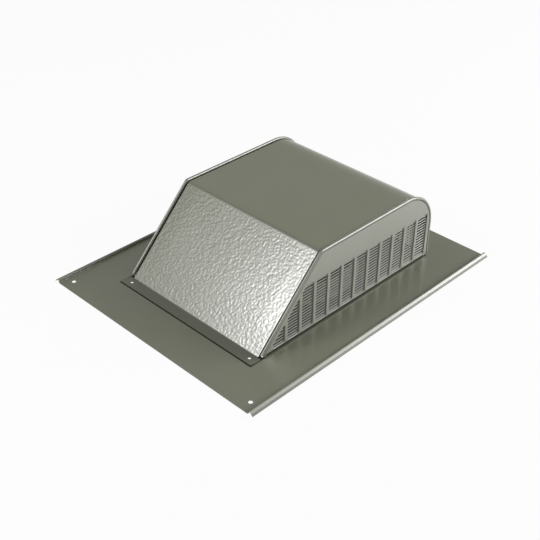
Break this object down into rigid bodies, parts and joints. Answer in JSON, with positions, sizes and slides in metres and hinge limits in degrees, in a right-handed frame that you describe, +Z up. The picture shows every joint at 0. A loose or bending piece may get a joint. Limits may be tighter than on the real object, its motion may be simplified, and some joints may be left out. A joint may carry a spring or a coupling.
{
  "type": "roof louver",
  "caption": "Slant-back static roof vent: flat flashing with side water ribs, round throat, and a sheet hood with a slanted back, round nose and pressed slot louvers on its sides and front.",
  "frame": {"origin": "middle of the flashing's underside, where it lies on the roof deck", "axes": "+Z up from the roof deck, +Y down the roof towards the louvered front, +X across the roof to the right louver"},
  "size_m": [0.414, 0.508, 0.1223],
  "materials": {
    "flashing_sheet": "semi-gloss olive grey baked enamel on plain steel sheet",
    "collar_sheet": "olive grey baked enamel on a spun steel ring",
    "hood_sheet": "semi-gloss olive grey baked enamel on steel sheet with an embossed slanted back",
    "louver_sheet": "semi-gloss olive grey baked enamel on pressed steel sheet"
  },
  "bodies": {
    "root": {"flashing": "flashing_sheet", "throat_collar": "collar_sheet", "hood_cover": "hood_sheet", "side_louver_left": "louver_sheet", "side_louver_right": "louver_sheet", "front_louver": "louver_sheet"}
  },
  "joints": []
}
